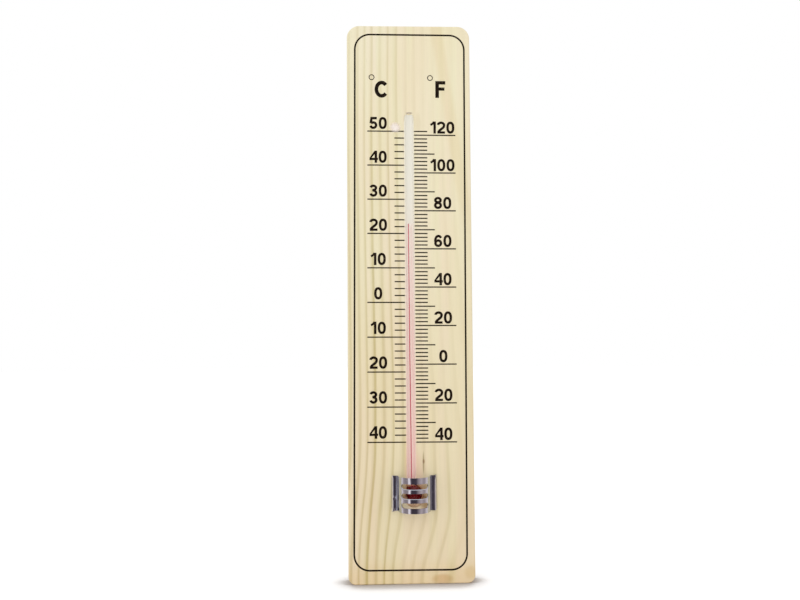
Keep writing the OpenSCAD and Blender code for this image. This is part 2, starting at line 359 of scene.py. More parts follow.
def ring_strength(s, x, z, phase):
    """How dark the late wood is: each ring has a strength of its own."""
    each = s.node("ShaderNodeTexWhiteNoise", noise_dimensions="1D")
    s.feed(s.math("FLOOR", phase), each.inputs["W"])
    strength = s.math("MULTIPLY_ADD", each.outputs["Value"], 0.5, 0.5)
    strength = s.times(strength, s.smooth(s.grain(PATCH_SCALE), 0.3, 0.7, 0.75, 1.1))
    for place, step in ((x, BOLD_OVER_X), (z, BOLD_AT_FOOT), (z, BOLD_AT_TOP)):
        strength = s.times(strength, s.smooth(place, *step))
    calm = s.times(s.smooth(x, *CALM_OVER_X), s.smooth(z, *CALM_OVER_Z))
    calm = s.math("MAXIMUM", calm, s.smooth(x, *CALM_AT_EDGE))
    return s.times(strength, s.less(1.0, calm))


def wood_colour(s, z, late_wood, fibre, coarse):
    """Colour of the sound wood; resin canals are short dark dashes among its fibres."""
    down = s.smooth(z, *LOW_OVER_Z)
    colour = s.mix(late_wood, s.mix(down, PINE_TOP, PINE_LOW),
                   s.mix(down, PINE_LATE_TOP, PINE_LATE_LOW))
    colour = stained(s, colour, s.smooth(s.grain(BLOTCH_SCALE, 3.0), 0.35, 0.7), WARM_TINT)
    canal = s.smooth(s.grain(CANAL_SCALE, 1.0), 0.70, 0.80)
    tone = s.add(s.times(fibre, 0.07), s.times(coarse, 0.08))
    tone = s.less(s.add(tone, 0.925), s.times(canal, 0.05))
    colour = s.tinted(colour, tone)
    hue = s.smooth(s.grain(HUE_SCALE), 0.35, 0.65)
    return s.tinted(colour, s.mix(hue, ROSY_TINT, STRAW_TINT))


def marked(s, colour, x, y, z):
    """The colour with the broad ring, the darker foot, the marks with their painted light and shade,
    and the cut wood.
    """
    path = s.math("MULTIPLY_ADD", z, BROAD_SLOPE, BROAD_X)
    broad = s.smooth(s.math("ABSOLUTE", s.less(x, path)), BROAD_HALF, 0.3 * BROAD_HALF)
    colour = stained(s, colour, s.times(broad, s.smooth(z, *BROAD_OVER_Z)), BROAD_TINT)
    colour = stained(s, colour, s.smooth(z, *FOOT_OVER_Z), FOOT_TINT)
    depth = s.less(y, FACE_Y / MM)
    front = s.smooth(depth, *MARKS_OVER_DEPTH)
    for *oval, tint in MARKS_AND_PAINTED_SHADE + SPIRIT_LIGHT_AND_SHADE:
        mark = s.smooth(oval_distance(s, x, z, *oval), 1.0, 0.1)
        colour = stained(s, colour, s.times(mark, front), tint)
    cut = s.times(s.smooth(depth, *CUT_OVER_DEPTH), front)
    cut = s.times(cut, s.smooth(s.math("ABSOLUTE", s.less(x, CUT_X)), *CUT_OVER_X))
    return stained(s, colour, cut, CUT_TINT)


def make_pine_group():
    """Colour and height of the wood at the shaded point."""
    tree = bpy.data.node_groups.new("pine_grain", "ShaderNodeTree")
    tree.interface.new_socket("Color", in_out="OUTPUT", socket_type="NodeSocketColor")
    tree.interface.new_socket("Height", in_out="OUTPUT", socket_type="NodeSocketFloat")
    s = Shader(tree)
    x, y, z = s.xyz(s.place())
    phase = ring_phase(s, x, y, z)
    late_wood = s.ramp(s.math("FRACT", phase), RING_SHADES, "EASE")
    late_wood = s.math("MULTIPLY", late_wood, ring_strength(s, x, z, phase), clamp=True)
    fibre = s.grain(FIBRE_SCALE, 3.0, 0.6)
    coarse = s.grain(COARSE_SCALE, 3.0, 0.6)
    colour = marked(s, wood_colour(s, z, late_wood, fibre, coarse), x, y, z)

    normal = s.node("ShaderNodeNewGeometry").outputs["Normal"]
    ending = s.smooth(s.math("ABSOLUTE", s.xyz(normal)[2]), 0.5, 0.95)
    colour = stained(s, colour, ending, END_GRAIN_TINT)

    height = s.add(s.times(fibre, 0.6), s.times(coarse, 0.4))
    height = s.add(height, s.times(late_wood, 0.3))
    out = s.node("NodeGroupOutput")
    s.feed(colour, out.inputs["Color"])
    s.feed(height, out.inputs["Height"])
    return tree


PINE_GROUP = make_pine_group()


def pine_nodes(s):
    made = s.node("ShaderNodeGroup")
    made.node_tree = PINE_GROUP
    return made.outputs["Color"], made.outputs["Height"]


def make_pine():
    material, s = new_material("pine")
    colour, height = pine_nodes(s)
    rough = s.math("MULTIPLY_ADD", height, 0.18, 0.42)
    s.output(s.principled(Base_Color=colour, Roughness=rough, Specular_IOR_Level=0.3,
                          Coat_Weight=0.12, Coat_Roughness=0.35,
                          Normal=s.bump(height, 0.06 * MM, 0.5)))
    return material


# Printed ink: thin and matt, and the wood shows where it is worn
INK_DARK = linear(17, 9, 4)
INK_PALE = linear(36, 24, 15)


def make_ink():
    material, s = new_material("printing_ink")
    wood, height = pine_nodes(s)
    patch = s.grain((700, 700, 700), 3.0)
    ink = s.mix(s.smooth(patch, 0.3, 0.7), INK_DARK, INK_PALE)
    fleck = s.grain((5200, 5200, 900))
    thin = s.grain((160, 160, 60))
    wear_and_reflection = s.times(s.smooth(fleck, 0.60, 0.78), s.smooth(thin, 0.40, 0.75, 0.0, 0.6))
    colour = s.mix(wear_and_reflection, ink, wood)
    rough = s.math("MULTIPLY_ADD", patch, 0.2, 0.5)
    s.output(s.principled(Base_Color=colour, Roughness=rough, Specular_IOR_Level=0.06,
                          Normal=s.bump(height, 0.04 * MM, 0.4)))
    return material


def see_through(s, surface, tint):
    """The surface, but clear and tinted to the rays that carry the lamps' light."""
    clear = s.fed("ShaderNodeBsdfTransparent", Color=tint)
    path = s.node("ShaderNodeLightPath")
    light = s.math("MAXIMUM", path.outputs["Is Shadow Ray"], path.outputs["Is Diffuse Ray"])
    return s.layered(light, surface, clear)


# Drawn glass: faint long ripples from the drawing, a trace of dust
GLASS_TINT = (0.985, 0.995, 0.985, 1)
GLASS_CLEAR = (0.97, 0.98, 0.97, 1)
# The blown bulb is thin: it bends and mirrors less light than the solid stem
IOR_OVER_Z = (-164, -169, 1.5, 1.28)


def make_glass():
    material, s = new_material("clear_glass")
    ripple = s.grain((260, 260, 12))
    dust = s.grain((2500, 2500, 2500))
    rough = s.smooth(dust, 0.62, 0.85, 0.0, 0.12)
    bend = s.smooth(s.xyz(s.place())[2], *IOR_OVER_Z)
    glass = s.principled(Base_Color=GLASS_TINT, Roughness=rough, IOR=bend, Transmission_Weight=1.0,
                         Normal=s.bump(ripple, 0.03 * MM, 0.25))
    s.output(see_through(s, glass, GLASS_CLEAR))
    return material


ENAMEL_DULL = linear(238, 232, 219)
ENAMEL_BRIGHT = linear(247, 242, 230)
# The spirit throws red light on the band, most of all above the bulb
ENAMEL_PINKS = (((-45, -130, 0.0, 0.7), linear(247, 213, 205)),
                ((-138, -172, 0.0, 0.8), linear(246, 209, 201)))
ENAMEL_CLEAR = (0.9, 0.88, 0.85, 1)


def make_enamel():
    material, s = new_material("white_enamel")
    streak = s.grain((1800, 1800, 40))
    colour = s.mix(streak, ENAMEL_DULL, ENAMEL_BRIGHT)
    height = s.xyz(s.place())[2]
    for pink_over_z, pink in ENAMEL_PINKS:
        colour = s.mix(s.smooth(height, *pink_over_z), colour, pink)
    body = s.principled(Base_Color=colour, Roughness=0.35, Specular_IOR_Level=0.4,
                        Normal=s.bump(streak, 0.01 * MM, 0.3))
    s.output(see_through(s, body, ENAMEL_CLEAR))
    return material


# Dyed spirit: noise scale, darker and lighter red, tint of the light that passes.
# It is deep red in the bulb, and lets red light through in the hair-thin bore
BULB_REDS = ((420, 420, 420), linear(86, 11, 15), linear(116, 17, 21), (0.97, 0.86, 0.84, 1))
THREAD_REDS = ((300, 300, 60), linear(186, 44, 70), linear(204, 58, 84), (0.95, 0.45, 0.5, 1))


def make_spirit(name, reds, **finish):
    scale, dark, light, clear = reds
    material, s = new_material(name)
    body = s.principled(Base_Color=s.mix(s.grain(scale), dark, light), **finish)
    s.output(see_through(s, body, clear))
    return material


ADHESIVE_DULL = linear(247, 236, 216)
ADHESIVE_PALE = linear(252, 244, 230)
# Painted red light that the spirit throws on the adhesive, stronger towards the bulb
ADHESIVE_RED_LIGHT = linear(248, 212, 184)
RED_LIGHT_OVER_Z = (-110, -170, 0.0, 0.8)
ADHESIVE_IOR = 1.45
# Glow that stands in for the light that the round glass gathers in its groove
GATHERED_LIGHT = 0.1


def make_adhesive():
    material, s = new_material("adhesive")
    cloud = s.grain((700, 700, 260), 3.0)
    # Painted red light from the spirit, growing towards the bulb
    red_light = s.smooth(s.xyz(s.place())[2], *RED_LIGHT_OVER_Z)
    colour = s.mix(red_light, s.mix(cloud, ADHESIVE_DULL, ADHESIVE_PALE), ADHESIVE_RED_LIGHT)
    s.output(s.principled(Base_Color=colour, Roughness=0.3, IOR=ADHESIVE_IOR,
                          Emission_Color=colour, Emission_Strength=GATHERED_LIGHT,
                          Normal=s.bump(cloud, 0.08 * MM, 0.5)))
    return material


SMEAR_DULL = linear(252, 238, 227)
SMEAR_PALE = linear(254, 246, 238)
# Centre, half width and half height of the smear on the face, in millimetres
SMEAR_OVAL = (-5.3, -28.9, 2.4, 2.2)


def make_smear():
    """A thin smear of the same adhesive, which runs out to nothing at its edge."""
    material, s = new_material("adhesive_smear")
    place = s.place()
    x, _, z = s.xyz(place)
    ragged = s.math("MULTIPLY_ADD", s.noise(place, 0.3, 1.0), 0.9, -0.45)
    away = s.add(oval_distance(s, x, z, *SMEAR_OVAL), ragged)
    cover = s.smooth(away, 1.2, -0.25, 0.0, 0.97)
    cloud = s.grain((700, 700, 700))
    colour = s.mix(cloud, SMEAR_DULL, SMEAR_PALE)
    # The glow is painted light, so that the smear stands paler than the wood
    s.output(s.principled(Base_Color=colour, Roughness=0.35, IOR=ADHESIVE_IOR, Alpha=cover,
                          Emission_Color=colour, Emission_Strength=GATHERED_LIGHT / 2,
                          Normal=s.bump(cloud, 0.04 * MM, 0.4)))
    return material


PLATING_DARK = linear(192, 199, 210)
PLATING_PALE = linear(202, 208, 218)
# Pale, nearly non-metal colour on the outer bends: a painted reflection of the wood beside them
PAINTED_WOOD_REFLECTION = linear(224, 214, 194)
WOOD_REFLECTION_OVER_X = (EDGE_X + 0.12, EDGE_X + 0.48, 0.0, 0.9)
# A thin shadow stands in for the light that the mirror faces throw under the arch
PLATING_CLEAR = (0.55, 0.55, 0.55, 1)


def make_plating():
    """Bright plated sheet with rubbed streaks, specks, a faint orange peel and a painted reflection of
    the wood on its outer bends.
    """
    material, s = new_material("plated_sheet")
    rub = s.grain((260, 2600, 5200), 3.0, 0.6)
    speck = s.smooth(s.grain((3800, 3800, 3800)), 0.70, 0.80)
    rough = s.add(s.math("MULTIPLY_ADD", rub, 0.10, 0.05), s.times(speck, 0.25))
    colour = s.mix(s.grain((500, 500, 500)), PLATING_DARK, PLATING_PALE)
    peel = s.grain((1500, 1500, 1500))
    normal = s.bump(s.math("MULTIPLY_ADD", rub, 0.25, peel), 0.02 * MM, 0.25)
    sheet = s.principled(Base_Color=colour, Metallic=1.0, Roughness=rough, Normal=normal)
    # Painted reflection of the wood, as a pale, nearly non-metal surface on the outer bends
    pale = s.principled(Base_Color=PAINTED_WOOD_REFLECTION, Metallic=0.1, Roughness=0.4, Normal=normal)
    off_middle = s.math("ABSOLUTE", s.less(s.xyz(s.place())[0], GUARD_X / MM))
    wear_and_reflection = s.smooth(off_middle, *WOOD_REFLECTION_OVER_X)
    s.output(see_through(s, s.layered(wear_and_reflection, sheet, pale), PLATING_CLEAR))
    return material


PINE = make_pine()
INK = make_ink()
GLASS = make_glass()
ENAMEL = make_enamel()
SPIRIT = make_spirit("red_spirit", BULB_REDS, Roughness=0.12, Specular_IOR_Level=0.12)
THREAD = make_spirit("red_spirit_thread", THREAD_REDS, Roughness=0.15, IOR=1.36)
ADHESIVE = make_adhesive()
SMEAR = make_smear()
PLATING = make_plating()


def dress_frame():
    """Give the carried-over nodes their materials."""
    for node, material in (("backboard", PINE), ("tube_adhesive", ADHESIVE), ("border_line", INK),
                           ("celsius_marks", INK), ("fahrenheit_marks", INK)):
        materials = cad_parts[node].data.materials
        materials.clear()
        materials.append(material)


def new_piece(name, mesh, material, body=None):
    """New object with its material; it rides on the body, if one is named."""
    piece = add_object(name, mesh)
    mesh.materials.append(material)
    if body:
        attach(piece, body)
    return piece


def mesh_from(name, work, smooth=True):
    """Mesh of a bmesh, with its normals outwards."""
    bmesh.ops.recalc_face_normals(work, faces=work.faces)
    mesh = bpy.data.meshes.new(name)
    work.to_mesh(mesh)
    work.free()
    if smooth:
        mesh.shade_smooth()
        mesh.set_sharp_from_angle(angle=SHARP_ANGLE)
    return mesh


def drop_loose(work):
    """Remove points that no face uses."""
    bmesh.ops.delete(work, geom=[v for v in work.verts if not v.link_faces], context="VERTS")


def skinned(outlines):
    """Closed skin over outlines of equally many points, with a flat end at each side."""
    work = bmesh.new()
    loops = [[work.verts.new(point) for point in outline] for outline in outlines]
    for low, high in zip(loops, loops[1:]):
        for i in range(len(low)):
            j = (i + 1) % len(low)
            work.faces.new((low[i], low[j], high[j], high[i]))
    for loop, way in ((loops[0], -1), (loops[-1], 1)):
        work.faces.new(loop[::way])
    return work


def lofted(rings, sides):
    """Closed skin over round rings (centre x, centre y, z, radius)."""
    turns = spread(0, 4 * QUARTER, sides)[:-1]
    return skinned([[(x + radius * math.cos(turn), y + radius * math.sin(turn), z) for turn in turns]
                    for x, y, z, radius in rings])


# Glass: the stem, its domed end, the shoulder, the blown bulb and the sealed tip, in one skin.
# The bulb was blown a little longer than round.
STEM_R = 1.9 * MM
TIP_R = 0.6 * MM
TIP_END_Z = GLASS_LO.z + 0.2 * MM
TIP_STEPS = 8
BULB_MID_Z = (SPIRIT_LO.z + SPIRIT_HI.z) / 2
BULB_HIGH_Z = BULB_MID_Z + 0.9 * MM
BULB_LOW_Z = BULB_MID_Z - 0.1 * MM
BULB_TOP_Z = BULB_HIGH_Z + BULB_R
BULB_STEPS = 14
# Least radius of a ring, so that no end is a point
POLE_R = 0.02 * MM
SPIRIT_R = (SPIRIT_HI.x - SPIRIT_LO.x) / 2
SPIRIT_SIDES = 48
SHOULDER_L = 2.9 * MM
SHOULDER_LOW_Z = BULB_TOP_Z - SHOULDER_L + 0.3 * MM
STEM_LOW_Z = BULB_TOP_Z + 0.4 * MM
GLASS_SIDES = 72
DOME_STEPS = 14


def bulb_rings(radius):
    """Rings of a long bulb, from its lowest to its highest point."""
    return [(BULB_X, AXIS_Y, centre - radius * math.cos(turn), max(radius * math.sin(turn), POLE_R))
            for centre, start in ((BULB_LOW_Z, 0), (BULB_HIGH_Z, QUARTER))
            for turn in spread(start, start + QUARTER, BULB_STEPS)]


def glass_rings():
    rings = [(BULB_X, AXIS_Y, TIP_END_Z + TIP_R * (1 - math.cos(turn)), TIP_R * math.sin(turn))
             for turn in spread(0, QUARTER, TIP_STEPS)[1:]]
    for x, y, z, radius in bulb_rings(BULB_R):
        rise = min(1.0, max(0.0, (z - SHOULDER_LOW_Z) / SHOULDER_L))
        ease = rise * rise * (3 - 2 * rise)
        radius = max(radius, STEM_R if rise > 0 else TIP_R)
        if z > rings[-1][2]:
            rings.append((x + (AXIS_X - x) * ease, y, z, radius))
    rings.append((AXIS_X, AXIS_Y, STEM_LOW_Z, STEM_R))
    rings.append((AXIS_X, AXIS_Y, (BULB_TOP_Z + GLASS_HI.z) / 2, STEM_R))
    dome_z = GLASS_HI.z - STEM_R
    return rings + [(AXIS_X, AXIS_Y, dome_z + STEM_R * math.sin(turn), STEM_R * math.cos(turn))
                    for turn in spread(0, QUARTER, DOME_STEPS)[:-1]]


def make_glass_pieces():
    """The glass skin and the spirit that fills its bulb."""
    skin = new_piece("glass_stem_and_bulb", mesh_from("glass", lofted(glass_rings(), GLASS_SIDES)),
                     GLASS, "board")
    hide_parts("glass_tube")
    fill = new_piece("bulb_fill", mesh_from("bulb_fill", lofted(bulb_rings(SPIRIT_R), SPIRIT_SIDES)),
                     SPIRIT, "board")
    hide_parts("bulb_spirit")


# Enamel: a thin band bent round the back of the bore, with a rounded top
ENAMEL_TOP_Z = GLASS_HI.z - 0.9 * MM
ENAMEL_LOW_Z = BULB_TOP_Z + 0.3 * MM
ENAMEL_R = 1.05 * MM
ENAMEL_T = 0.25 * MM
ENAMEL_TURN = math.radians(66)
ENAMEL_ROUND = 1.5 * MM
ENAMEL_ROUND_STEPS = 10
ENAMEL_STEPS = 14


def enamel_outline(z, turn):
    """Section of the band at height z, bent through turn to each side of the back."""
    inner, outer = ([(AXIS_X + radius * math.sin(a), AXIS_Y + radius * math.cos(a), z)
                     for a in spread(-turn, turn, ENAMEL_STEPS)]
                    for radius in (ENAMEL_R, ENAMEL_R + ENAMEL_T))
    return inner + outer[::-1]


def make_enamel_strip():
    outlines = [enamel_outline(ENAMEL_LOW_Z, ENAMEL_TURN)]
    for rise in spread(0, 1, ENAMEL_ROUND_STEPS)[:-1]:
        outlines.append(enamel_outline(ENAMEL_TOP_Z - ENAMEL_ROUND * (1 - rise),
                                       ENAMEL_TURN * math.sqrt(1 - rise * rise)))
    strip = new_piece("enamel_strip", mesh_from("enamel", skinned(outlines)), ENAMEL,
                      "board")
    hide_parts("enamel_band")


# Thread of spirit: the drawn bore strays a little from the stem's axis
MENISCUS = 0.06 * MM
STRAY_FOOT = 0.05 * MM
STRAY_MIDDLE = -0.20 * MM
STRAY_LEVEL = -0.32 * MM
THREAD_R = COLUMN_R * 0.88
THREAD_SIDES = 16


def make_spirit_thread():
    """The spirit's thread in the bore, from its foot up to its level."""
    rings = [(AXIS_X + STRAY_FOOT, AXIS_Y, FOOT_Z, THREAD_R),
             (AXIS_X + STRAY_MIDDLE, AXIS_Y, (FOOT_Z + LEVEL_Z) / 2, THREAD_R),
             (AXIS_X + STRAY_LEVEL, AXIS_Y, LEVEL_Z - MENISCUS, THREAD_R),
             (AXIS_X + STRAY_LEVEL, AXIS_Y, LEVEL_Z, THREAD_R * 0.5)]
    thread = new_piece("spirit_thread", mesh_from("thread", lofted(rings, THREAD_SIDES)), THREAD)
    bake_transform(thread)
    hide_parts("spirit_column")


# Smear of adhesive on the wood beside the stem's top, drawn in millimetres.
# Its mesh reaches past the oval, and its material ends it raggedly.
SMEAR_REACH = 1.35
SMEAR_T = 0.06
SMEAR_CLEAR = 0.01
SMEAR_RINGS = 6
SMEAR_SIDES = 36


def make_smear_piece():
    middle_x, middle_z, half_x, half_z = SMEAR_OVAL
    turns = spread(0, 4 * QUARTER, SMEAR_SIDES)[:-1]
    outlines = []
    for climb in spread(0, QUARTER, SMEAR_RINGS)[:-1]:
        share = SMEAR_REACH * math.cos(climb)
        y = FACE_Y - (SMEAR_CLEAR + SMEAR_T * math.sin(climb)) * MM
        outlines.append([((middle_x + half_x * share * math.cos(turn)) * MM, y,
                          (middle_z + half_z * share * math.sin(turn)) * MM) for turn in turns])
    new_piece("adhesive_smear", mesh_from("smear", skinned(outlines)), SMEAR, "board")


# Numerals and signs: strokes of one width, joined into one flat outline and raised a little.
# Glyphs are drawn in heights of a capital, from their left side and base line.
INK_T = 0.05 * MM
DIGIT_H = 4.88 * MM
DIGIT_PITCH = 0.76
ONE_PITCH = 0.645
DIGIT_W = 0.66
DIGIT_STROKE = 0.198
SIGN_H = 6.85 * MM
SIGN_STROKE = 0.21
# The printing is turned on the board, about its middle
PRINT_TURN = math.radians(-0.27)
MIDDLE_Z = (BOARD_LO.z + BOARD_HI.z) / 2
CURVE_STEPS = 20


def arc(cx, cy, rx, ry, start, end, square=2.0):
    """Points along an ellipse from start to end, in degrees; square over 2 flattens its sides."""
    points = []
    power = 2 / square
    for degrees in spread(start, end, CURVE_STEPS):
        c, s = math.cos(math.radians(degrees)), math.sin(math.radians(degrees))
        points.append((cx + rx * math.copysign(abs(c) ** power, c),
                       cy + ry * math.copysign(abs(s) ** power, s)))
    return points


def bezier(a, b, c, d):
    points = []
    for t in spread(0, 1, CURVE_STEPS):
        u = 1 - t
        points.append(tuple(u ** 3 * a[k] + 3 * u * u * t * b[k] + 3 * u * t * t * c[k] + t ** 3 * d[k]
                            for k in (0, 1)))
    return points


def ribbon(points, width, closed=False):
    """Four-sided patches along a path, mitred at its corners."""
    count = len(points)
    left, right = [], []
    for i, here in enumerate(points):
        before = Vector(points[i - 1] if i or closed else here)
        after = Vector(points[(i + 1) % count] if i + 1 < count or closed else here)
        here = Vector(here)
        first, second = here - before, after - here
        first = first.normalized() if first.length else second.normalized()
        second = second.normalized() if second.length else first
        along = (first + second).normalized()
        side = Vector((-along.y, along.x))
        reach = width / 2 / max(0.5, side.dot(Vector((-first.y, first.x))))
        left.append(here + side * reach)
        right.append(here - side * reach)
    patches = []
    for i in range(count if closed else count - 1):
        j = (i + 1) % count
        patches.append((left[i], left[j], right[j], right[i]))
    return patches


def bar(x0, y0, x1, y1):
    return [((x0, y0), (x1, y0), (x1, y1), (x0, y1))]


def hoop(cx, cy, rx, ry, w, square=2.0):
    """Closed stroke along an ellipse."""
    return ribbon(arc(cx, cy, rx, ry, 0, 360, square)[:-1], w, True)


def glyph(sign, w):
    """Patches of one numeral or letter, with strokes of width w."""
    h = w / 2
    middle = DIGIT_W / 2
    top_y, top_rx, top_ry = 0.728, 0.218, 1 - h - 0.728
    low_y, low_rx, low_ry = 0.302, middle - h, 0.302 - h
    if sign == "0":
        return hoop(middle, 0.5, middle - h, 0.5 - h, w, 2.35)
    if sign == "1":
        return (bar(0.345, 0, 0.345 + w, 1)
                + ribbon(bezier((0.10, 0.715), (0.22, 0.76), (0.33, 0.85), (0.385, 0.985)), w * 0.86))
    if sign == "2":
        return (ribbon(arc(0.325, 0.70, 0.25, 1 - h - 0.70, 174, -22)
                       + bezier((0.560, 0.600), (0.50, 0.43), (0.17, 0.31), (0.095, h))[1:], w)
                + bar(0.025, 0, 0.65, w * 0.94))
    if sign == "3":
        return (ribbon(arc(0.315, top_y, top_rx, top_ry, 168, -92), w)
                + ribbon(arc(0.32, low_y, low_rx, low_ry, 92, -168), w)
                + bar(0.235, 0.53 - h * 0.95, 0.33, 0.53 + h * 0.95))
    if sign == "4":
        stem = 0.435
        return (bar(stem, 0, stem + w, 1) + bar(0.02, 0.225, 0.705, 0.225 + w * 0.92)
                + [((0.02, 0.225 + w * 0.92), (0.175, 0.225 + w * 0.92), (stem + w * 0.4, 0.815),
                    (stem + w * 0.4, 1.0), (stem, 1.0))])
    if sign == "5":
        return (ribbon([(0.605, 1 - h), (0.175, 1 - h), (0.105, 0.475)], w)
                + ribbon(arc(0.315, 0.322, middle - h, 0.322 - h, 142, -166), w))
    if sign == "6":
        return (hoop(middle + 0.005, 0.318, middle - h - 0.005, 0.318 - h, w)
                + ribbon(arc(0.355, 0.5, 0.355 - h, 0.5 - h, 188, 36, 2.1), w))
    if sign == "8":
        return hoop(middle, top_y, top_rx, top_ry, w) + hoop(middle, low_y, low_rx, low_ry, w)
    if sign == "C":
        return ribbon(arc(0.415, 0.5, 0.415 - h, 0.5 - h, 40, 320), w)
    if sign == "F":
        return bar(0, 0, w, 1) + bar(0, 1 - w * 0.95, 0.585, 1) + bar(0, 0.435, 0.535, 0.435 + w * 0.9)
    return hoop(0, 0, 1, 1, w)


def raised(patches):
    """Closed solid of the patches' joined outline, standing on the board's face."""
    places, faces = [], []
    for patch in patches:
        corners = [Vector(point) for point in patch]
        if sum(a.cross(b) for a, b in zip(corners, corners[1:] + corners[:1])) < 0:
            corners.reverse()
        faces.append(list(range(len(places), len(places) + len(corners))))
        places.extend(corners)
    points, _, triangles, _, _, covered = delaunay_2d_cdt(places, [], faces, 0, NEARLY)
    work = bmesh.new()
    front = [work.verts.new((p.x, FACE_Y - INK_T, p.y)) for p in points]
    back = [work.verts.new((p.x, FACE_Y, p.y)) for p in points]
    uses = {}
    for corners, source in zip(triangles, covered):
        if not source:
            continue
        work.faces.new([front[i] for i in corners])
        work.faces.new([back[i] for i in reversed(corners)])
        for a, b in zip(corners, corners[1:] + corners[:1]):
            uses[(a, b)] = True
    for a, b in uses:
        if (b, a) not in uses:
            work.faces.new((front[b], front[a], back[a], back[b]))
    drop_loose(work)
    return work


def placed(patches, left, base, scale):
    """Patches scaled and put on the board, turned as the printing is."""
    c, s = math.cos(PRINT_TURN), math.sin(PRINT_TURN)
    done = []
    for patch in patches:
        spots = [(left + px * scale, base + py * scale - MIDDLE_Z) for px, py in patch]
        done.append(tuple((x * c - z * s, x * s + z * c + MIDDLE_Z) for x, z in spots))
    return done


def number(text, centre, base):
    """Patches of a number centred on centre, in metres."""
    patches, pen = [], 0.0
    for sign in text:
        patches += [[(x + pen, y) for x, y in patch] for patch in glyph(sign, DIGIT_STROKE)]
        pen += ONE_PITCH if sign == "1" else DIGIT_PITCH
    across = [x for patch in patches for x, _ in patch]
    return placed(patches, centre - (min(across) + max(across)) / 2 * DIGIT_H, base, DIGIT_H)


def printed(name, patches):
    new_piece(name, mesh_from(name, raised(patches), smooth=False), INK, "board")


C_COLUMN_X = -12.62 * MM
F_COLUMN_X = 13.06 * MM
# Height of the numbers above their marks, at 50 and at -40 degrees Celsius
C_RISE = (0.85 * MM, 1.4 * MM)
F_RISE = (0.72 * MM, 0.72 * MM)
TOP_C = 50
SPAN_C = 90
ZERO_C_Z = -99.0 * MM
MM_PER_C = 1.37 * MM
F_AT_ZERO = 32
F_PER_C = 1.8


def numeral_column(values, centre, rise, at_zero, per_degree):
    """Numbers above the long marks; at_zero is the reading of this scale at 0 degrees Celsius."""
    patches = []
    for value in values:
        celsius = (value - at_zero) / per_degree
        low = (TOP_C - celsius) / SPAN_C
        base = ZERO_C_Z + celsius * MM_PER_C + rise[0] + (rise[1] - rise[0]) * low
        patches += number(str(abs(value)), centre, base)
    return patches


DEGREE_R = 1.0 * MM
DEGREE_LINE = 0.3
# Signs, in millimetres: name, letter, its left side and base, and the middle of its degree ring
SIGNS = (("celsius_sign", "C", -14.03, -16.9, -15.24, -8.63),
         ("fahrenheit_sign", "F", 10.36, -16.8, 8.22, -8.72))


def make_print():
    printed("celsius_numerals", numeral_column(range(-40, 51, 10), C_COLUMN_X, C_RISE, 0, 1))
    printed("fahrenheit_numerals",
            numeral_column(range(-40, 121, 20), F_COLUMN_X, F_RISE, F_AT_ZERO, F_PER_C))
    for name, letter, left, base, ring_x, ring_z in SIGNS:
        printed(name, placed(glyph(letter, SIGN_STROKE), left * MM, base * MM, SIGN_H)
                + placed(glyph("degree", DEGREE_LINE), ring_x * MM, ring_z * MM, DEGREE_R))


# Bulb guard: one sheet, drawn as its outer face and thickened inwards. Sizes in millimetres.
SHEET_T = 0.4
ARCH_R = 6.4
ARCH_H = 7.5
BEND_R = 0.3
LEG_DEPTH = 3.0
LEG_SHORT = 0.9
SLOT_HALF = 1.0
SLOT_REACH = 5.2
SLOT_PITCH = 3.6
SLOT_DROP = 0.2
RIM_R = 0.18
# The pressed sheet is softly waved: depth, waves per millimetre and start in the noise
WAVE_DEPTH = 0.05
WAVE_SCALE = 0.30
WAVE_START = Vector((3.1, 0.7, 5.3))
# The flanges rise from their foot and flatten
FLANGE_RISE = 0.17
FLANGE_EASE = 0.5
# Upper edges of the middle bars are rolled in
ROLL = 0.34
ROLL_DEPTH = 0.17
ROLL_SLACK = 1e-4
# Corners that were bent up in the press: side, end, lift and reach
CURLS = ((-1, -1, 0.75, 2.1), (1, 1, 0.90, 1.9), (-1, 1, 0.40, 1.6))
CURL_STRETCH = 0.45
# Small dents in the flanges: x, z, half width, half height and depth
DENTS = ((-7.9, -1.6, 0.5, 0.6, 0.27), (7.6, 0.7, 1.1, 0.28, 0.13))
SLOTS_Z = (-SLOT_PITCH - SLOT_DROP, -SLOT_DROP, SLOT_PITCH - SLOT_DROP)
# The legs in the wood end short of the sheet's ends
LEG_END = GUARD_HALF_L - LEG_SHORT
# Widest gap between points of the sheet that are one
JOIN_GAP = 0.002


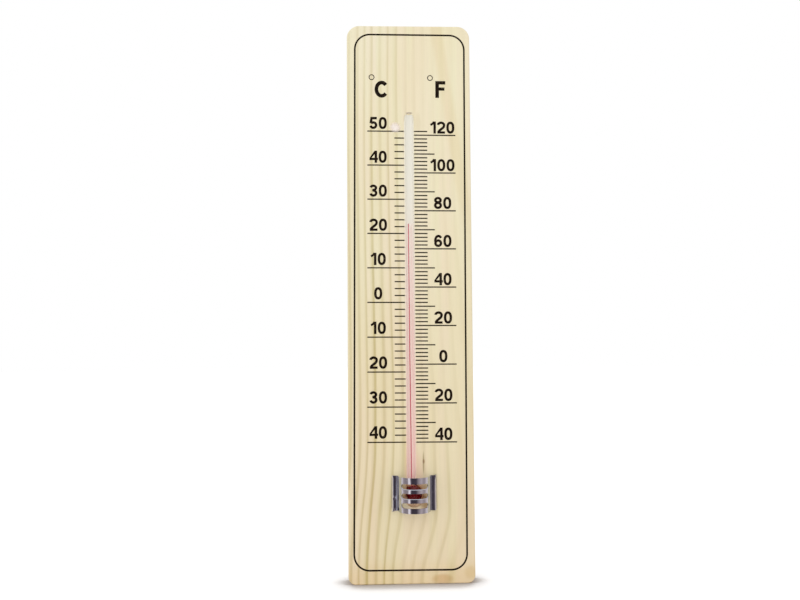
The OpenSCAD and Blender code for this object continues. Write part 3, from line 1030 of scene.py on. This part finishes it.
def guard_section():
    """Right half of the outer face from the crown to the leg's end: (x, height, slot half height)."""
    slot_mid = SLOT_REACH - SLOT_HALF
    arch = [(turn, SLOT_HALF) for turn in spread(0, math.asin(slot_mid / ARCH_R), 12)[:-1]]
    arch += [(math.asin((slot_mid + SLOT_HALF * math.sin(end)) / ARCH_R), SLOT_HALF * math.cos(end))
             for end in spread(0, QUARTER, 8)]
    arch += [(turn, 0.0) for turn in spread(math.asin(SLOT_REACH / ARCH_R), QUARTER, 6)[1:]]
    foot_y = SHEET_T + BEND_R
    side = [(ARCH_R, (ARCH_H - ARCH_R + foot_y) / 2)]
    side += [(ARCH_R + BEND_R - BEND_R * math.cos(turn), foot_y - BEND_R * math.sin(turn))
             for turn in spread(0, QUARTER, 6)]
    side += [(x, SHEET_T) for x in spread(ARCH_R + BEND_R, EDGE_X, 6)[1:-1]]
    inner_r = OUTER_BEND_R - SHEET_T
    face_turn = math.acos(inner_r / OUTER_BEND_R)
    side += [(EDGE_X + OUTER_BEND_R * math.sin(turn), -inner_r + OUTER_BEND_R * math.cos(turn))
             for turn in spread(0, face_turn, 6) + spread(face_turn, QUARTER, 4)[1:]]
    side += [(GUARD_HALF_W, -depth) for depth in spread(inner_r, LEG_DEPTH, 3)[1:]]
    return ([(ARCH_R * math.sin(turn), ARCH_H - ARCH_R + ARCH_R * math.cos(turn), slot)
             for turn, slot in arch] + [(x, height, 0.0) for x, height in side])


def slot_half_height(x):
    """Half the height of a slot at x from the arch's middle."""
    beyond = max(0.0, abs(x) - (SLOT_REACH - SLOT_HALF))
    return math.sqrt(max(0.0, SLOT_HALF ** 2 - beyond ** 2))


def wear_sheet(vert):
    """Move a point of the sheet as pressing and handling did; legs in the wood stay."""
    if vert.co.y >= 0:
        return
    x, z = vert.co.x, vert.co.z
    wave = noise.noise(vert.co * WAVE_SCALE + WAVE_START)
    vert.co += vert.normal * wave * WAVE_DEPTH
    across = (abs(x) - ARCH_R - BEND_R) / (EDGE_X - ARCH_R - BEND_R)
    if across > 0:
        down = max(0.0, 1 - max(0.0, abs(x) - EDGE_X) / OUTER_BEND_R)
        vert.co.y -= FLANGE_RISE * math.sin(QUARTER * min(1.0, across / FLANGE_EASE)) * down
    if abs(x) < SLOT_REACH:
        for slot_z in SLOTS_Z[1:]:
            below = slot_z - slot_half_height(x) - z
            if -ROLL_SLACK < below < ROLL:
                vert.co -= vert.normal * ROLL_DEPTH * (1 - below / ROLL) ** 2
    for side, end, lift, reach in CURLS:
        away = math.hypot(x - side * GUARD_HALF_W, z - end * GUARD_HALF_L)
        fall = max(0.0, 1 - away / reach) ** 2
        vert.co.y -= lift * fall
        vert.co.z += end * lift * CURL_STRETCH * fall
    for dent_x, dent_z, half_x, half_z, height in DENTS:
        away = math.hypot((x - dent_x) / half_x, (z - dent_z) / half_z)
        vert.co.y -= height * math.exp(-away * away)


def strip_heights(strip, slot):
    """Heights of one strip's points, where the slots beside it have this half height."""
    last = len(SLOTS_Z)
    low = -GUARD_HALF_L if strip == 0 else SLOTS_Z[strip - 1] + slot
    high = GUARD_HALF_L if strip == last else SLOTS_Z[strip] - slot
    if strip == 0:
        return spread(low, -LEG_END, 5) + spread(-LEG_END, high, 8)[1:]
    if strip == last:
        return spread(low, LEG_END, 8) + spread(LEG_END, high, 5)[1:]
    return spread(low, high - ROLL, 8) + spread(high - ROLL, high, 4)[1:]


def guard_mesh():
    half = guard_section()
    section = [(-x, y, slot) for x, y, slot in reversed(half[1:])] + half
    work = bmesh.new()
    for strip in range(len(SLOTS_Z) + 1):
        columns = [[work.verts.new((x, -y, z)) for z in strip_heights(strip, slot)]
                   for x, y, slot in section]
        for j in range(len(section) - 1):
            leg = min(section[j][1], section[j + 1][1]) < -NEARLY
            for a, b, c, d in zip(columns[j], columns[j + 1], columns[j + 1][1:], columns[j][1:]):
                if not leg or max(abs(a.co.z), abs(d.co.z)) <= LEG_END + NEARLY:
                    work.faces.new((a, b, c, d))
    bmesh.ops.remove_doubles(work, verts=work.verts, dist=JOIN_GAP)
    drop_loose(work)
    bmesh.ops.recalc_face_normals(work, faces=work.faces)
    work.normal_update()
    for vert in work.verts:
        wear_sheet(vert)
    work.transform(Matrix.Translation((GUARD_X, FACE_Y, GUARD_Z)) @ Matrix.Scale(MM, 4))
    mesh = bpy.data.meshes.new("guard")
    front = max(work.faces, key=lambda face: -face.calc_center_median().y)
    if front.normal.y > 0:
        bmesh.ops.reverse_faces(work, faces=work.faces)
    work.to_mesh(mesh)
    work.free()
    mesh.shade_smooth()
    return mesh


def make_guard():
    guard = new_piece("guard_sheet", guard_mesh(), PLATING, "board")
    thick = guard.modifiers.new("thickness", "SOLIDIFY")
    thick.thickness = SHEET_T * MM
    thick.offset = -1.0
    thick.use_even_offset = True
    rim = guard.modifiers.new("rim", "BEVEL")
    rim.width = RIM_R * MM
    rim.segments = 3
    rim.limit_method = "ANGLE"
    rim.angle_limit = SHARP_ANGLE
    rim.harden_normals = True
    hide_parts("bulb_guard")


# Studio, in metres: a pale floor under the board, a tall soft light to the left, a dark surround
FLOOR_DROP = 0.00002
FLOOR_R = 3.0
# The floor's colour for the light that it throws on, and for the eye, with a glow to make it white
FLOOR_BOUNCE = (0.80, 0.80, 0.80, 1)
FLOOR_SHADE = (0.50, 0.49, 0.49, 1)
FLOOR_GLOW = 0.62
# Narrow painted contact shadow where something stands on the floor
CONTACT_SHADOW_REACH = 0.012
CONTACT_SHADOW_SHADE = (0.06, 0.03, 0.02, 1)


def seen_ray(s):
    """1 for what the eye sees directly, mirrored or through glass; 0 for light thrown on."""
    path = s.node("ShaderNodeLightPath")
    bright = s.math("MAXIMUM", path.outputs["Is Glossy Ray"], path.outputs["Is Transmission Ray"])
    return s.math("MAXIMUM", path.outputs["Is Camera Ray"], bright)


def make_floor():
    work = bmesh.new()
    bmesh.ops.create_circle(work, cap_ends=True, radius=FLOOR_R, segments=64)
    work.transform(Matrix.Translation((0, 0, BOARD_LO.z - FLOOR_DROP)))
    floor = add_object("floor", mesh_from("floor", work, smooth=False))
    material, s = new_material("floor")
    seen = seen_ray(s)
    pale = s.fed("ShaderNodeBsdfDiffuse", Color=s.mix(seen, FLOOR_BOUNCE, FLOOR_SHADE))
    # Painted contact shadow: the glow darkens where nearby things close the floor in
    near = s.node("ShaderNodeAmbientOcclusion", samples=8)
    near.inputs["Distance"].default_value = CONTACT_SHADOW_REACH
    open_sky = s.smooth(near.outputs["AO"], 0.60, 0.95)
    glow = s.glow(s.mix(open_sky, CONTACT_SHADOW_SHADE, (1, 1, 1, 1)), s.times(seen, FLOOR_GLOW))
    both = s.node("ShaderNodeAddShader")
    s.feed(pale, both.inputs[0])
    s.feed(glow, both.inputs[1])
    s.output(both.outputs[0])
    floor.data.materials.append(material)


AMBIENT = 0.92


def make_world():
    world = bpy.data.worlds.new("world")
    bpy.context.scene.world = world
    world.use_nodes = True
    s = Shader(world.node_tree)
    strength = s.math("MULTIPLY_ADD", seen_ray(s), 1.0 - AMBIENT, AMBIENT)
    sky = s.fed("ShaderNodeBackground", Color=(1, 1, 1, 1), Strength=strength)
    s.output(sky, "ShaderNodeOutputWorld")


def toward(azimuth, elevation, distance, centre):
    """Place seen from centre at an azimuth left of the viewer's side (-Y), in degrees."""
    a, e = math.radians(azimuth), math.radians(elevation)
    way = Vector((-math.sin(a) * math.cos(e), -math.cos(a) * math.cos(e), math.sin(e)))
    return way * distance + centre


KEY_AZIMUTH = 34
KEY_ELEVATION = 18
KEY_DISTANCE = 1.1
# Height of its aim above the guard's middle
KEY_AIM_RISE = 0.06
KEY_W = 0.20
KEY_H = 1.2
KEY_RADIANCE = 3.0


def make_key():
    data = bpy.data.lights.new("key", "AREA")
    data.shape = "RECTANGLE"
    data.size = KEY_W
    data.size_y = KEY_H
    data.energy = KEY_RADIANCE * math.pi * KEY_W * KEY_H
    key = add_object("key", data)
    centre = Vector((GUARD_X, FACE_Y, GUARD_Z + KEY_AIM_RISE))
    key.location = toward(KEY_AZIMUTH, KEY_ELEVATION, KEY_DISTANCE, centre)
    key.rotation_euler = (centre - key.location).to_track_quat("-Z", "Y").to_euler()
    # The screen's bright strip takes its place in reflections, and leaves the stem clear
    key.visible_glossy = False


# Glowing card seen only by bright metal and glass: painted reflections of a dark room
# in front of the board, with one bright strip for the key light
SCREEN_R = 0.09
SCREEN_HALF = 120
SCREEN_TOP_Z = -0.095
SCREEN_PARTS = 80
# Shade of the room by direction, in degrees to the left of straight ahead
SCREEN_SHADES = ((-120, 0.62), (-95, 0.84), (-78, 0.50), (-66, 0.33), (-46, 0.52), (-30, 0.36),
                 (-20, 0.20), (-12, 0.065), (17, 0.055), (22, 0.09), (26, 0.26), (31, 1.04),
                 (40, 1.04), (46, 0.31), (66, 0.30), (80, 0.40), (92, 0.82), (120, 0.80))
SCREEN_DARK_TINT = (1.22, 0.94, 1.16, 1)
SCREEN_MID_TINT = (1.22, 0.98, 0.97, 1)
SCREEN_PALE_TINT = (1.12, 0.98, 0.96, 1)
# Dark card just above the floor, seen only in reflections: a painted dark reflection
# that keeps the sheet's lower edges dark
SHELF_RISE = 0.001
SHELF_FROM = 0.014
SHELF_SHADE = (0.13, 0.10, 0.12, 1)


def glossy_only(piece):
    piece.visible_camera = False
    piece.visible_diffuse = False
    piece.visible_transmission = False
    piece.visible_shadow = False


def half_round(name, inner, outer):
    """Wall or shelf bent around the board's front, between two (radius, height) rims."""
    work = bmesh.new()
    low, high = ([work.verts.new(toward(angle, 0, radius, Vector((0, FACE_Y, height))))
                  for angle in spread(-SCREEN_HALF, SCREEN_HALF, SCREEN_PARTS)]
                 for radius, height in (inner, outer))
    for corners in zip(low, low[1:], high[1:], high):
        work.faces.new(corners)
    return add_object(name, mesh_from(name, work))


def make_screen():
    screen = half_round("screen", (SCREEN_R, BOARD_LO.z), (SCREEN_R, SCREEN_TOP_Z))
    material, s = new_material("screen")
    x, y, _ = s.xyz(s.place((1, 1, 1)))
    angle = s.math("ARCTAN2", s.times(x, -1.0), s.less(FACE_Y, y))
    spot = s.math("MULTIPLY_ADD", angle, 0.5 / math.radians(SCREEN_HALF), 0.5)
    shade = s.ramp(spot, [(0.5 + 0.5 * degrees / SCREEN_HALF, shade)
                          for degrees, shade in SCREEN_SHADES])
    tint = s.mix(s.smooth(shade, 0.08, 0.24), SCREEN_DARK_TINT, SCREEN_MID_TINT)
    tint = s.mix(s.smooth(shade, 0.5, 0.9), tint, SCREEN_PALE_TINT)
    s.output(s.glow(s.tinted(shade, tint)))
    screen.data.materials.append(material)
    glossy_only(screen)

    low = BOARD_LO.z + SHELF_RISE
    shelf = half_round("shelf", (SHELF_FROM, low), (SCREEN_R, low))
    material, s = new_material("shelf")
    s.output(s.glow(SHELF_SHADE))
    shelf.data.materials.append(material)
    glossy_only(shelf)


dress_frame()
make_glass_pieces()
make_enamel_strip()
make_spirit_thread()
make_smear_piece()
make_print()
make_guard()
make_floor()
make_world()
make_key()
make_screen()
